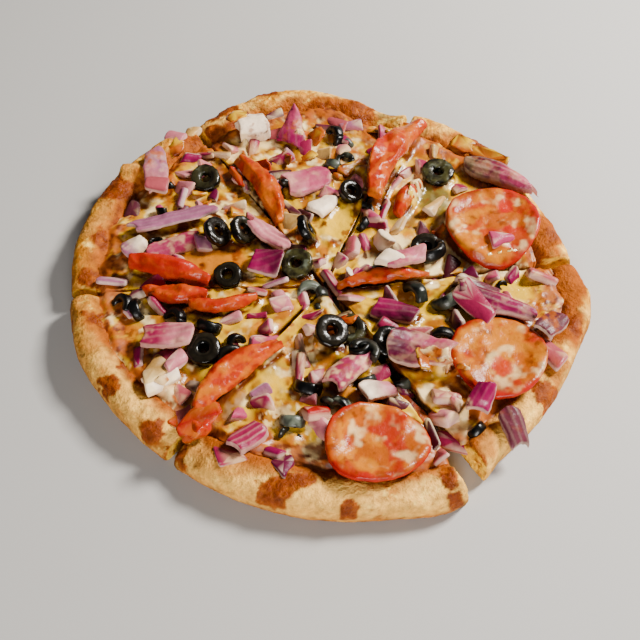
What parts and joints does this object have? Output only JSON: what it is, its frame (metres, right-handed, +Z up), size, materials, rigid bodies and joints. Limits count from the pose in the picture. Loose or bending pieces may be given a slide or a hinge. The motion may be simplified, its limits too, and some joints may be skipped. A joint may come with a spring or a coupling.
{
  "type": "pan pizza",
  "caption": "Round pan pizza cut into wedge slices, with a puffed browned rim, melted cheese, tomato rounds and wedges, sliced olives and red onion pieces.",
  "frame": {"origin": "middle of the round's bounding box, on the plane that the underside rests on", "axes": "+Z up, out of the toppings; +X and +Y across the round, with the slice that is drawn out towards +X and -Y"},
  "size_m": [0.2589, 0.26, 0.0302],
  "materials": {
    "crust": "baked golden dough, dry and finely blistered",
    "cheese": "melted cheese over red sauce, oily sheen, browned in patches",
    "tomato": "roasted tomato, wet",
    "olive": "black olive, oily",
    "onion": "baked red onion, moist"
  },
  "bodies": {
    "root": {"dough_slice_1": "crust", "dough_slice_2": "crust", "dough_slice_3": "crust", "dough_slice_4": "crust", "dough_slice_5": "crust", "dough_slice_6": "crust", "cheese_slice_1": "cheese", "cheese_slice_2": "cheese", "cheese_slice_3": "cheese", "cheese_slice_4": "cheese", "cheese_slice_5": "cheese", "cheese_slice_6": "cheese", "tomato_round_1": "tomato", "tomato_round_2": "tomato", "tomato_round_3": "tomato", "tomato_wedge_1": "tomato", "tomato_wedge_2": "tomato", "tomato_wedge_3": "tomato", "tomato_wedge_4": "tomato", "tomato_wedge_5": "tomato", "tomato_wedge_6": "tomato", "tomato_wedge_7": "tomato", "tomato_wedge_8": "tomato", "tomato_wedge_9": "tomato", "olive_ring_1": "olive", "olive_ring_2": "olive", "olive_ring_3": "olive", "olive_ring_4": "olive", "olive_ring_5": "olive", "olive_ring_6": "olive", "olive_ring_7": "olive", "olive_ring_8": "olive", "olive_ring_9": "olive", "olive_ring_10": "olive", "olive_ring_11": "olive", "olive_ring_12": "olive", "olive_ring_13": "olive", "onion_petal_1": "onion", "onion_petal_2": "onion", "onion_petal_3": "onion", "onion_petal_4": "onion", "onion_petal_5": "onion", "onion_petal_6": "onion", "onion_petal_7": "onion", "onion_petal_8": "onion", "onion_petal_9": "onion", "onion_petal_10": "onion", "onion_petal_11": "onion", "onion_petal_12": "onion", "onion_petal_13": "onion", "onion_petal_14": "onion", "onion_petal_15": "onion", "onion_petal_16": "onion", "onion_petal_17": "onion", "onion_petal_18": "onion", "onion_petal_19": "onion", "onion_petal_20": "onion", "onion_petal_21": "onion", "onion_petal_22": "onion", "onion_petal_23": "onion"}
  },
  "joints": []
}
